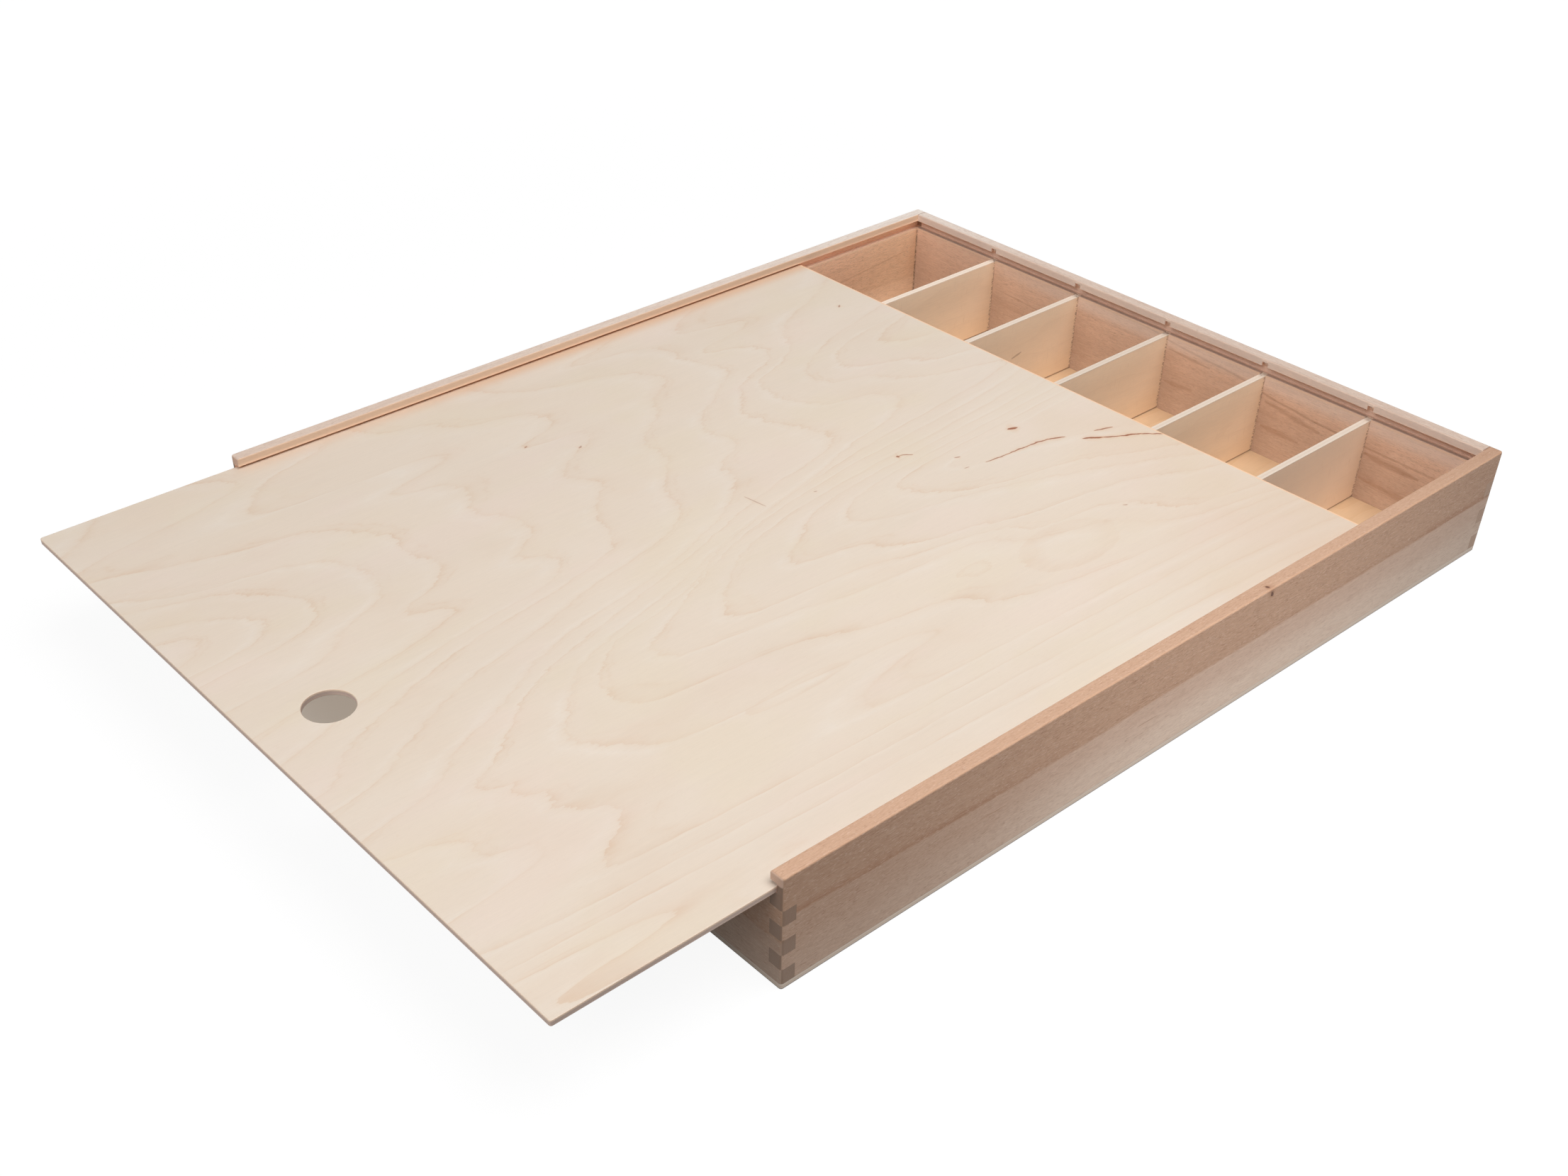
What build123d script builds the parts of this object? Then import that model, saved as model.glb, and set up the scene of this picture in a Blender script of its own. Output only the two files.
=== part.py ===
"""Wooden pencil box with five partitions and a sliding plywood lid.

Frame: the origin is the centre of the underside, +X is to the right, +Y points to the closed back and
+Z is up. The lid slides out over the low front wall, towards -Y, and is modelled part way out.
All sizes are in millimetres.
"""
import os

from build123d import *

# Outside of the assembled box
box_length = 504.0
box_width = 428.0
box_height = 60.0

# Boards and panels
wall_thickness = 7.3
bottom_thickness = 3.2
divider_thickness = 3.7
lid_thickness = 3.2

# Groove that carries the lid, in the side walls and the back wall
groove_depth = 4.0
lip_height = 4.3

# Clearances round the lid
lid_rest_gap = 0.1
lid_top_gap = 1.4
lid_side_gap = 0.4
lid_end_gap = 0.5

# Lid
lid_pull_out = 106.5
lid_corner_radius = 1.2
lid_edge_radius = 0.4
finger_hole_diameter = 24.0
finger_hole_inset = 36.5

# Finger joints at the four corners, counted from the bottom panel to the top of the front wall
finger_count = 6

# Dividers and the dadoes that house them
divider_count = 5
divider_top_drop = 0.4
divider_floor_gap = 0.3
dado_depth = 2.5
dado_gap = 0.1
dado_overrun = 2.5

# Sanded arrises
corner_radius = 1.5
top_edge_radius = 1.0
inner_edge_radius = 0.6
bottom_edge_radius = 0.7

# Faces and levels that several pieces share
half_length = box_length / 2
half_width = box_width / 2
inner_half_length = half_length - wall_thickness
inner_half_width = half_width - wall_thickness
groove_height = lid_rest_gap + lid_thickness + lid_top_gap
lip_level = box_height - lip_height
shoulder_level = lip_level - groove_height
wall_height = box_height - bottom_thickness
front_wall_height = shoulder_level - bottom_thickness

# Heights of the middles of the fingers that belong to the front and back walls
finger_height = front_wall_height / finger_count
finger_levels = [bottom_thickness + finger_height * (step + 0.5) for step in range(0, finger_count, 2)]

# Middle lines of the dividers, at equal distances between the side walls
compartment_width = (2 * inner_half_width - divider_count * divider_thickness) / (divider_count + 1)
divider_pitch = compartment_width + divider_thickness
divider_lines = [divider_pitch * (step - (divider_count - 1) / 2) for step in range(divider_count)]

# Dadoes in the end walls: the back ones run past the lid groove and end in the lip
dado_width = divider_thickness + 2 * dado_gap
back_dado_height = lip_level + dado_overrun - bottom_thickness


# Envelope: the outside that the glued box is sanded to
with BuildPart() as envelope:
    with BuildSketch():
        RectangleRounded(box_width, box_length, corner_radius)
    extrude(amount=box_height)
    fillet(envelope.faces().sort_by(Axis.Z)[-1].edges(), top_edge_radius)
    fillet(envelope.faces().sort_by(Axis.Z)[0].edges(), bottom_edge_radius)


# Bottom panel: glued under the four walls and sanded flush with them
with BuildPart() as bottom_panel:
    with BuildSketch():
        Rectangle(box_width, box_length)
    extrude(amount=bottom_thickness)
    add(envelope.part, mode=Mode.INTERSECT)
bottom_panel.part.label = "bottom_panel"


# Side wall: full length, notched for the fingers of the end walls, grooved from the front to the back corner
with BuildPart() as right_wall:
    with BuildSketch(Plane.XZ) as side_section:
        with Locations((inner_half_width, bottom_thickness)):
            Rectangle(wall_thickness, wall_height, align=(Align.MIN, Align.MIN))
        inner_top_corner = side_section.vertices().group_by(Axis.Y)[-1].sort_by(Axis.X)[0]
        fillet(inner_top_corner, inner_edge_radius)
    extrude(amount=half_length, both=True)
    with Locations((inner_half_width, -half_length, shoulder_level)):
        groove_run = half_length + inner_half_length + groove_depth
        Box(groove_depth, groove_run, groove_height, align=(Align.MIN,) * 3, mode=Mode.SUBTRACT)
    with Locations([
        (half_width - wall_thickness / 2, end * (half_length - wall_thickness / 2), level)
        for end in (-1, 1)
        for level in finger_levels
    ]):
        Box(wall_thickness, wall_thickness, finger_height, mode=Mode.SUBTRACT)
    add(envelope.part, mode=Mode.INTERSECT)
right_wall.part.label = "right_wall"

with BuildPart() as left_wall:
    mirror(right_wall.part, about=Plane.YZ)
left_wall.part.label = "left_wall"


# Back wall: as high as the side walls, with fingers at its ends, the lid groove and a dado for each divider
with BuildPart() as back_wall:
    with BuildSketch(Plane.YZ) as back_section:
        with Locations((inner_half_length, bottom_thickness)):
            Rectangle(wall_thickness, wall_height, align=(Align.MIN, Align.MIN))
        inner_top_corner = back_section.vertices().group_by(Axis.Y)[-1].sort_by(Axis.X)[0]
        fillet(inner_top_corner, inner_edge_radius)
    extrude(amount=inner_half_width, both=True)
    with Locations((0, inner_half_length, shoulder_level)):
        inward_align = (Align.CENTER, Align.MIN, Align.MIN)
        Box(2 * inner_half_width, groove_depth, groove_height, align=inward_align, mode=Mode.SUBTRACT)
    with Locations([(x, inner_half_length, bottom_thickness) for x in divider_lines]):
        Box(dado_width, dado_depth, back_dado_height, align=inward_align, mode=Mode.SUBTRACT)
    with Locations([
        (end * (half_width - wall_thickness / 2), half_length - wall_thickness / 2, level)
        for end in (-1, 1)
        for level in finger_levels
    ]):
        Box(wall_thickness, wall_thickness, finger_height)
    add(envelope.part, mode=Mode.INTERSECT)
back_wall.part.label = "back_wall"


# Front wall: low, so that the lid passes over it, with its dadoes open at the top
with BuildPart() as front_wall:
    with BuildSketch(Plane.XY.offset(bottom_thickness)):
        with Locations((0, -half_length)):
            Rectangle(2 * inner_half_width, wall_thickness, align=(Align.CENTER, Align.MIN))
        with Locations([(x, -inner_half_length) for x in divider_lines]):
            Rectangle(dado_width, dado_depth, align=(Align.CENTER, Align.MAX), mode=Mode.SUBTRACT)
    extrude(amount=front_wall_height)
    with Locations([
        (end * (half_width - wall_thickness / 2), -half_length + wall_thickness / 2, level)
        for end in (-1, 1)
        for level in finger_levels
    ]):
        Box(wall_thickness, wall_thickness, finger_height)
    add(envelope.part, mode=Mode.INTERSECT)
front_wall.part.label = "front_wall"


# Dividers: thin plywood, housed at both ends, just clear of the floor and of the lid
divider_length = 2 * (inner_half_length + dado_depth - dado_gap)
divider_foot = bottom_thickness + divider_floor_gap
divider_height = shoulder_level - divider_top_drop - divider_foot
dividers = []
for number, line in enumerate(divider_lines, start=1):
    with BuildPart() as divider:
        with BuildSketch(Plane.XY.offset(divider_foot)):
            with Locations((line, 0)):
                Rectangle(divider_thickness, divider_length)
        extrude(amount=divider_height)
    divider.part.label = f"divider_{number}"
    dividers.append(divider)


# Lid: reaches into the grooves at both sides, and into the back groove when it is pushed home
lid_width = 2 * (inner_half_width + groove_depth - lid_side_gap)
lid_length = half_length + inner_half_length + groove_depth - lid_end_gap
lid_front = -half_length - lid_pull_out
with BuildPart() as lid:
    with BuildSketch(Plane.XY.offset(shoulder_level + lid_rest_gap)):
        with Locations((0, lid_front + lid_length / 2)):
            RectangleRounded(lid_width, lid_length, lid_corner_radius)
        with Locations((0, lid_front + finger_hole_inset)):
            Circle(finger_hole_diameter / 2, mode=Mode.SUBTRACT)
    extrude(amount=lid_thickness)
    lid_faces = lid.faces().sort_by(Axis.Z)
    fillet(lid_faces[0].edges() + lid_faces[-1].edges(), lid_edge_radius)
lid.part.label = "lid"


# One file for each piece
os.makedirs("parts", exist_ok=True)
for piece in [bottom_panel, left_wall, right_wall, back_wall, front_wall, *dividers, lid]:
    export_step(piece.part, f"parts/{piece.part.label}.step")
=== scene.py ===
"""Woods and studio for the wooden pencil box.

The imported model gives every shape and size. This add-on gives the pieces their woods: steamed beech for the
four walls, rotary-cut birch plywood for the lid, plainer birch plywood for the partitions and a yellower
plywood for the bottom. It adds the splinters that the dado cutter left, and sets the stage: a pale floor,
soft light and a camera.

Places in the materials are in millimetres, measured in each piece's own resting place, so they move with it.
"""
import math
from functools import reduce
from typing import NamedTuple

import bmesh
import bpy
from bpy.props import FloatProperty, FloatVectorProperty, IntProperty, PointerProperty
from mathutils import Matrix, Vector
from mathutils.noise import noise as field_noise


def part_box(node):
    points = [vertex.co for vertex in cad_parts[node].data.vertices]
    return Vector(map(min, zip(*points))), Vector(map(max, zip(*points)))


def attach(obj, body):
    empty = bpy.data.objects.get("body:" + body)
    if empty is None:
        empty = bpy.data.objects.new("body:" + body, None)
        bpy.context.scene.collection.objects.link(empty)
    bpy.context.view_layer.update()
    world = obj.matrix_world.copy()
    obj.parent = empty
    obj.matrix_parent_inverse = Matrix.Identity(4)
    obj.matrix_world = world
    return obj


bl_info = {
    "name": "Wooden Pencil Box Finishes",
    "version": (1, 0, 0),
    "blender": (4, 5, 0),
    "location": "3D Viewport > Sidebar > Pencil Box",
    "description": "Beech, birch plywood and a plain studio for the wooden pencil box",
    "category": "Material",
}

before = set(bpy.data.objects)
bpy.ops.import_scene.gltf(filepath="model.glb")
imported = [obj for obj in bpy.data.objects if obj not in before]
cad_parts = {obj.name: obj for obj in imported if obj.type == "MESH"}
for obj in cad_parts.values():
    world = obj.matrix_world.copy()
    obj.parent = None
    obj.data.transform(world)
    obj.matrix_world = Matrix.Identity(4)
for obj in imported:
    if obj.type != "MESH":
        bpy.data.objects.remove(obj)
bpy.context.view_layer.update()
MM = 0.001


def level(node, corner, axis):
    """One side of a piece's box, in millimetres."""
    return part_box(node)[corner][axis] / MM


LOW, HIGH = 0, 1
INNER_SIDE = level("right_wall", LOW, 0)
INNER_BACK = level("back_wall", LOW, 1)
OUTER_BACK = level("back_wall", HIGH, 1)
WALL_FOOT = level("right_wall", LOW, 2)
BOX_TOP = level("right_wall", HIGH, 2)
SHOULDER = level("front_wall", HIGH, 2)
LID_BACK = level("lid", HIGH, 1)
LID_FOOT = level("lid", LOW, 2)
LID_TOP = level("lid", HIGH, 2)
PARTITIONS = [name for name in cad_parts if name.startswith("divider_")]
PARTITION_FOOT = level(PARTITIONS[0], LOW, 2)
PARTITION_TOP = level(PARTITIONS[0], HIGH, 2)
PARTITION_PITCH = level(PARTITIONS[1], LOW, 0) - level(PARTITIONS[0], LOW, 0)

# Foot of the lip that holds the lid down
LIP_HEIGHT = 4.3
LIP = BOX_TOP - LIP_HEIGHT

# Ranges that hold the drawn lines: across the lid and along it, along the boards and up them
SHEET_REACH, SHEET_HEIGHT = (-211, 211), (-600, 360)
BOARD_REACH, BOARD_HEIGHT = (-256, 256), (0, 64)


def tone(red, green, blue):
    """A colour as a screen shows it, 0 to 255, in the linear values that Blender works with."""
    return tuple(((part / 255 + 0.055) / 1.055) ** 2.4 for part in (red, green, blue))


def colour_setting(name, description, default):
    return FloatVectorProperty(name=name, description=description, default=default, size=3, min=0, max=1,
                               subtype="COLOR")


# Settings in the sidebar


class BeechBoards(bpy.types.PropertyGroup):
    """Solid steamed beech of the four walls"""

    warm: colour_setting("Warm wood", "Warmer wood along the boards' upper part", tone(214, 174, 146))
    pale: colour_setting("Pale wood", "Paler, pinker wood along the boards' lower part", tone(230, 198, 176))
    dark: colour_setting("Growth streak", "Darker growth lines and streaks", tone(176, 128, 98))
    fleck: colour_setting("Ray flecks", "Short brown dashes of the wood rays", tone(150, 104, 78))
    shine: colour_setting("Ray shine", "Paler glints between the flecks", tone(246, 222, 204))
    # Paler tone that the top edges are whitened towards
    whitened: colour_setting("Sanded top", "Paler wood of the sanded top edges", tone(243, 232, 222))
    end_grain: colour_setting("End grain", "Cut ends of the finger joints", tone(192, 160, 138))
    # Dark of the glue seams, and of the painted shade in crevices between the pieces
    seam: colour_setting("Seams", "Glue seams and crevices between the pieces", tone(78, 52, 38))
    ring_spacing: FloatProperty(name="Ring spacing", description="Distance between growth rings, in mm",
                                default=3.4, min=1, max=12)
    fleck_length: FloatProperty(name="Fleck length", description="Usual length of a ray fleck, in mm",
                                default=2.6, min=0.5, max=10)


class LidVeneer(bpy.types.PropertyGroup):
    """Rotary-cut birch veneer on the lid"""

    birch: colour_setting("Birch", "Pale face veneer", tone(229, 213, 196))
    ring: colour_setting("Growth lines", "Tan of the growth lines", tone(212, 174, 140))
    halo: colour_setting("Early wood", "Paler, cooler wood after each growth line", tone(233, 221, 208))
    mineral: colour_setting("Mineral streaks", "Orange-brown marks in the veneer", tone(160, 92, 54))
    stain: colour_setting("Stain", "Warm stain beside the marks", tone(222, 178, 142))
    core: colour_setting("Core ply", "Lower plies, seen on the edges", tone(214, 189, 176))
    edge: colour_setting("Outer ply", "Upper ply, seen on the edges", tone(248, 220, 196))
    ring_strength: FloatProperty(name="Ring strength", description="How strongly the ring lines show",
                                 default=1.0, min=0, max=2, subtype="FACTOR")


class PartitionPly(bpy.types.PropertyGroup):
    """Thin birch plywood of the five partitions"""

    face: colour_setting("Face veneer", "Faces of the partitions", tone(248, 223, 195))
    edge: colour_setting("Edge", "Sawn edges on top", tone(236, 219, 202))
    check: colour_setting("Lathe checks", "Fine lines of the veneer", tone(190, 150, 116))
    mark: colour_setting("Marks", "Small brown streaks", tone(140, 92, 62))


class BottomPly(bpy.types.PropertyGroup):
    """Plywood under the walls"""

    face: colour_setting("Face veneer", "Floor of the compartments", tone(216, 183, 147))
    edge: colour_setting("Edge", "Sanded edge round the outside", tone(240, 222, 206))
    line: colour_setting("Grain lines", "Darker grain of the floor", tone(204, 166, 124))


class TornFibres(bpy.types.PropertyGroup):
    """Splinters at the mouths of the dadoes"""

    count: IntProperty(name="Splinters", description="Splinters along each dado edge",
                       default=26, min=0, max=80)
    length: FloatProperty(name="Length", description="Length of the longest splinter", default=0.0013,
                          min=0, max=0.004, unit="LENGTH")


class Studio(bpy.types.PropertyGroup):
    """Floor, light and camera"""

    focal_length: FloatProperty(name="Focal length", description="Focal length on a 36 mm wide sensor",
                                default=40.88, min=10, max=200, unit="CAMERA")
    azimuth: FloatProperty(name="Azimuth", description="Direction to the camera, rightwards from the front",
                           default=math.radians(49.00), subtype="ANGLE")
    elevation: FloatProperty(name="Elevation", description="Height of the camera over the floor, as an angle",
                             default=math.radians(39.59), subtype="ANGLE")
    roll: FloatProperty(name="Roll", description="Turn of the camera about its own line of sight",
                        default=math.radians(-0.18), subtype="ANGLE")
    place: FloatVectorProperty(name="Camera place", description="Where the camera stands",
                               default=(0.57691, -0.58859, 0.51643), size=3, subtype="TRANSLATION")
    shift: FloatVectorProperty(name="Shift", description="Camera shift to the right and up",
                               default=(0.0272, 0.1247), size=2)
    sky: FloatProperty(name="Room light", description="Even light from all round",
                       default=0.16, min=0, max=1)
    top_power: FloatProperty(name="Overhead light", description="Power of the soft light overhead",
                             default=34, min=0, unit="POWER")
    front_power: FloatProperty(name="Front light", description="Power of the soft light high in front",
                               default=26, min=0, unit="POWER")
    side_power: FloatProperty(name="Side light", description="Power of the small low light at the right",
                              default=0.095, min=0, unit="POWER")


# Node helpers


def sign(operation):
    """The two methods of a sign of arithmetic: with the wire before it, and behind it."""
    return (lambda wire, other: wire.graph.math(operation, wire, other),
            lambda wire, other: wire.graph.math(operation, other, wire))


class Wire:
    """A number in a material. Sums on it add Math nodes to the tree."""

    def __init__(self, graph, socket):
        self.graph = graph
        self.socket = socket

    __add__, __radd__ = sign("ADD")
    __sub__, __rsub__ = sign("SUBTRACT")
    __mul__, __rmul__ = sign("MULTIPLY")
    __truediv__, __rtruediv__ = sign("DIVIDE")

    def __neg__(self):
        return self * -1

    def __abs__(self):
        return self.graph.math("ABSOLUTE", self)

    def rise(self, start, end, course="SMOOTHSTEP"):
        """Goes smoothly from 0 at start to 1 at end, either way round."""
        node = self.graph.node("ShaderNodeMapRange", interpolation_type=course)
        for name, value in (("Value", self), ("From Min", start), ("From Max", end)):
            self.graph.feed(node.inputs[name], value)
        return Wire(self.graph, node.outputs["Result"])

    def share(self, start, end):
        """The share of the way from start to end, from 0 to 1."""
        return self.rise(start, end, "LINEAR")

    def near(self, place, reach):
        """1 at a place, smoothly 0 at the reach from it."""
        return abs(self - place).rise(reach, 0)


class Graph:
    """Adds nodes to one tree, and hands their outputs on: numbers as wires, places and colours as sockets."""

    def __init__(self, tree):
        self.tree = tree

    def node(self, kind, **settings):
        node = self.tree.nodes.new(kind)
        for name, value in settings.items():
            setattr(node, name, value)
        column, row = len(self.tree.nodes) % 16, len(self.tree.nodes) // 16
        node.location = (column * 190, row * -280)
        return node

    def feed(self, socket, value):
        """Gives a socket its value: another node's output or a constant."""
        if isinstance(value, Wire):
            self.tree.links.new(value.socket, socket)
        elif isinstance(value, bpy.types.NodeSocket):
            self.tree.links.new(value, socket)
        elif socket.type == "RGBA":
            socket.default_value = (*value, 1)
        else:
            socket.default_value = value

    def fed(self, kind, values, **settings):
        """A new node with its first sockets fed."""
        node = self.node(kind, **settings)
        for socket, value in zip(node.inputs, values):
            self.feed(socket, value)
        return node

    def math(self, operation, *values):
        return Wire(self, self.fed("ShaderNodeMath", values, operation=operation).outputs[0])

    def vector(self, operation, *values):
        """A place worked out from places."""
        return self.fed("ShaderNodeVectorMath", values, operation=operation).outputs["Vector"]

    def measure(self, operation, *values):
        """A number worked out from places."""
        return Wire(self, self.fed("ShaderNodeVectorMath", values, operation=operation).outputs["Value"])

    def scale(self, value, factor):
        """A colour or a place, times a number."""
        node = self.fed("ShaderNodeVectorMath", [value], operation="SCALE")
        self.feed(node.inputs["Scale"], factor)
        return node.outputs[0]

    def most(self, *values):
        """The largest of several numbers."""
        return reduce(lambda first, second: self.math("MAXIMUM", first, second), values)

    def least(self, *values):
        """The smallest of several numbers."""
        return reduce(lambda first, second: self.math("MINIMUM", first, second), values)

    def from_row(self, place, pitch):
        """The distance to the nearest of a row of places, one pitch apart from 0."""
        return abs(self.math("FRACT", place / pitch + 0.5) - 0.5) * pitch

    def join(self, along, across, through):
        """A place from three numbers."""
        return self.fed("ShaderNodeCombineXYZ", (along, across, through)).outputs[0]

    def split(self, place):
        return [Wire(self, socket) for socket in self.fed("ShaderNodeSeparateXYZ", [place]).outputs]

    def surface(self):
        """The place on the piece in mm, its three numbers, and the three of the way its surface faces."""
        node = self.node("ShaderNodeTexCoord")
        place = self.scale(node.outputs["Object"], 1 / MM)
        return place, self.split(place), self.split(node.outputs["Normal"])

    def noise(self, place, cell, seed, detail=1):
        """Soft random variation between 0 and 1, with cells of the given size in mm."""
        mapping = self.fed("ShaderNodeMapping", [place])
        mapping.inputs["Location"].default_value = (seed, seed * 1.7, seed * 0.6)
        mapping.inputs["Scale"].default_value = [1 / size for size in cell]
        node = self.fed("ShaderNodeTexNoise", [mapping.outputs[0]], noise_dimensions="3D")
        node.inputs["Scale"].default_value = 1
        node.inputs["Detail"].default_value = detail
        return Wire(self, node.outputs[0])

    def drawn(self, along, points, reach, height):
        """The height of a line drawn through the points, at a place along it.
        Both ranges hold the line. One number stands for a level line."""
        if not isinstance(points, list):
            return points
        start, end = reach
        low, high = height
        node = self.node("ShaderNodeFloatCurve")
        shares = [((place - start) / (end - start), (value - low) / (high - low)) for place, value in points]
        curve = node.mapping.curves[0].points
        curve[0].location = shares[0]
        curve[1].location = shares[-1]
        for share in shares[1:-1]:
            curve.new(*share)
        node.mapping.update()
        self.feed(node.inputs["Value"], (along - start) * (1 / (end - start)))
        return Wire(self, node.outputs[0]) * (high - low) + low

    def blend(self, share, first, second):
        """Colour that goes from the first to the second as the share goes from 0 to 1."""
        node = self.fed("ShaderNodeMix", [share], data_type="RGBA")
        self.feed(node.inputs[6], first)
        self.feed(node.inputs[7], second)
        return node.outputs[2]

    def use(self, group, **values):
        """One use of a node group."""
        node = self.node("ShaderNodeGroup", node_tree=group)
        for name, value in values.items():
            self.feed(node.inputs[name.capitalize()], value)
        return Wire(self, node.outputs[0])

    def finish(self, kind, shader):
        """Joins a shader to the output of the tree."""
        self.fed(kind, [shader.outputs[0]])


class Coat:
    """The colour of a wood, laid on in layers."""

    def __init__(self, graph, colour):
        self.graph = graph
        self.colour = colour

    def lay(self, share, colour):
        """Covers a share of what lies below."""
        self.colour = self.graph.blend(share, self.colour, colour)

    def dim(self, strength):
        """Makes all of it darker or lighter."""
        self.colour = self.graph.scale(self.colour, strength)


def streak_group():
    """Distance from a straight mark, as a share of its half width. The mark thins out to its ends."""
    tree = bpy.data.node_groups.new("mineral_streak", "ShaderNodeTree")
    for label in ("Place", "Start", "End"):
        tree.interface.new_socket(label, in_out="INPUT", socket_type="NodeSocketVector")
    tree.interface.new_socket("Width", in_out="INPUT", socket_type="NodeSocketFloat")
    tree.interface.new_socket("Value", in_out="OUTPUT", socket_type="NodeSocketFloat")
    g = Graph(tree)
    place, start, end, width = g.node("NodeGroupInput").outputs[:4]
    line = g.vector("SUBTRACT", end, start)
    offset = g.vector("SUBTRACT", place, start)
    reach = g.measure("DOT_PRODUCT", offset, line) / g.measure("DOT_PRODUCT", line, line)
    share = g.least(g.most(reach, 0), 1)
    gap = g.vector("SUBTRACT", offset, g.scale(line, share))
    fullness = share * (1 - share) * 2.4 + 0.4
    g.fed("NodeGroupOutput", [g.measure("LENGTH", gap) / (Wire(g, width) * fullness)])
    return tree


# Materials and pieces


def new_material(name):
    material = bpy.data.materials.new(name)
    material.use_nodes = True
    material.node_tree.nodes.clear()
    return material, Graph(material.node_tree)


def finish_wood(graph, colour, roughness, relief, depth):
    """Joins the colour, the roughness and a relief of the given depth in mm to the wood shader."""
    shader = graph.fed("ShaderNodeBsdfPrincipled", [colour])
    graph.feed(shader.inputs["Roughness"], roughness)
    shader.inputs["Specular IOR Level"].default_value = 0.3
    bump = graph.node("ShaderNodeBump")
    graph.feed(bump.inputs["Height"], relief)
    bump.inputs["Strength"].default_value = 1
    bump.inputs["Distance"].default_value = depth * MM
    graph.feed(shader.inputs["Normal"], bump.outputs[0])
    graph.finish("ShaderNodeOutputMaterial", shader)


def dress(name, material):
    """Gives a CAD piece its material."""
    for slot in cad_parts[name].material_slots:
        slot.material = material


def add_mesh(context, name, mesh, material):
    """Puts a built mesh into the scene."""
    data = bpy.data.meshes.new(name)
    mesh.to_mesh(data)
    mesh.free()
    data.materials.append(material)
    piece = bpy.data.objects.new(name, data)
    context.scene.collection.objects.link(piece)
    return piece


# Beech walls


class Cut(NamedTuple):
    """How one board was cut from its log. Places are along the board, in mm."""

    axis: str
    seed: float
    # Where the middle of the log was, up and sideways
    pith: tuple
    # Height of the line where the wood above changes to the wood below
    border: list
    # Painted light and shade on the broad faces, as the light falls along each board, and the brightness of
    # the cut ends against them
    shade: list
    end_shade: float
    # Share of the pale wood all over
    paleness: float = 0
    # How much the wood below the border differs from the wood above
    zone: list | float = 0.3
    # Strength of the dark growth streak on the border
    streak: list | float = 0.2
    # Brightness of the top edge, and how far sanding has paled it
    # Painted light and shade on the top edge along the board, and how far the top edge is whitened
    top_shade: list | float = 1
    top_whitening: list | float = 0
    # Small growth streaks: start, end, half width, strength
    marks: tuple = ()


BOARD_CUTS = {
    "right_wall": Cut(
        axis="Y", seed=3.1, pith=(-70, 40), end_shade=0.47,
        border=[(-256, 39), (-200, 37), (-85, 34), (0, 34.7), (80, 34), (256, 34)],
        shade=[(-256, 0.82), (-150, 0.88), (-50, 1.0), (40, 1.0), (150, 0.96), (256, 0.84)],
        zone=[(-256, 0.35), (-150, 0.5), (-40, 1), (256, 1)],
        streak=[(-256, 0.8), (-150, 0.75), (-100, 0.3), (60, 0.2), (180, 0.35), (205, 0.9), (256, 0.9)],
        top_shade=[(-256, 0.97), (-50, 0.95), (50, 0.93), (170, 0.9), (256, 0.74)],
        marks=(((0, -36, 24.0), (0, -22, 23.7), 0.5, 0.6), ((0, -139, 26.9), (0, -124, 26.3), 0.5, 0.55))),
    "left_wall": Cut(
        axis="Y", seed=9.4, pith=(130, -30), end_shade=0.54,
        border=[(-256, 20), (-60, 23), (256, 18)],
        shade=[(-256, 1.18), (256, 1.2)],
        top_shade=[(-256, 0.88), (256, 0.92)],
        top_whitening=[(-256, 0.52), (0, 0.66), (256, 1)],
        marks=(((0, 150, 30.0), (0, 236, 38.0), 1.0, 0.3),)),
    "back_wall": Cut(
        axis="X", seed=15.7, pith=(150, 60), end_shade=0.8, paleness=0.8,
        border=[(-256, 57), (-65, 50.5), (-5, 48.5), (4, 46.8), (57, 42.7), (73, 39.7), (120, 35.1),
                (206, 32.5), (256, 32)],
        shade=[(-256, 1.08), (256, 1.06)],
        streak=[(-256, 0.2), (-70, 0.2), (-40, 0.5), (256, 0.55)],
        top_shade=[(-256, 0.86), (-100, 0.81), (0, 0.75), (256, 0.69)],
        top_whitening=[(-256, 0.84), (-190, 0.79), (-100, 0.48), (0, 0.41), (256, 0.34)],
        marks=(((75, 0, 36), (112, 0, 31), 2.6, 0.4), ((142, 0, 31), (176, 0, 29), 3.2, 0.45),
               ((75, 0, 21), (100, 0, 20), 2.4, 0.35), ((142, 0, 16), (176, 0, 14), 3.0, 0.4),
               ((4, 0, 42.5), (34, 0, 41), 1.2, 0.35), ((4, 0, 22), (24, 0, 23), 2.6, 0.3),
               ((-130, 0, 33), (-96, 0, 31), 0.9, 0.3))),
    "front_wall": Cut(
        axis="X", seed=21.2, pith=(-60, -40), end_shade=0.77, zone=0.5,
        border=[(-256, 20), (0, 24), (256, 26)],
        shade=[(-256, 0.9), (180, 0.88), (208, 0.68), (256, 0.66)]),
}

# Ends and half width of the knot that crosses the top arris of the right wall
KNOT_TOP = (211.0, 52.2, 60.4)
KNOT_SIDE = (214.4, 54.6, 55.8)
KNOT_WIDTH = 1.7

# The streak on the border fades upwards over this height: on the side walls, and on the end walls
SIDE_STREAK_HEIGHT = 4.6
END_STREAK_HEIGHT = 1.8

# Six fingers stand over each other at each corner. The torn notches beside them lie in this range of heights
FINGER_HEIGHT = (SHOULDER - WALL_FOOT) / 6
NOTCHES_FROM = (6, 12)
NOTCHES_TO = (47, 42)

# Half widths of a joint's glue seam: level, from full to nothing, and upright
LEVEL_SEAM = (0.24, 0.05)
UPRIGHT_SEAM = 0.26

# Tones of single places on the walls, painted light among them
FOOT_BOUNCE_LIGHT = tone(250, 227, 207)
PINK_BAND = tone(255, 246, 240)
YELLOW_END = tone(226, 210, 168)
KNOT_HEART = tone(84, 46, 30)
SHOULDER_HIGHLIGHT = tone(255, 222, 194)
ARRIS_WEAR_AND_HIGHLIGHT = tone(226, 178, 142)
LIP_END = tone(240, 206, 186)


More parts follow.
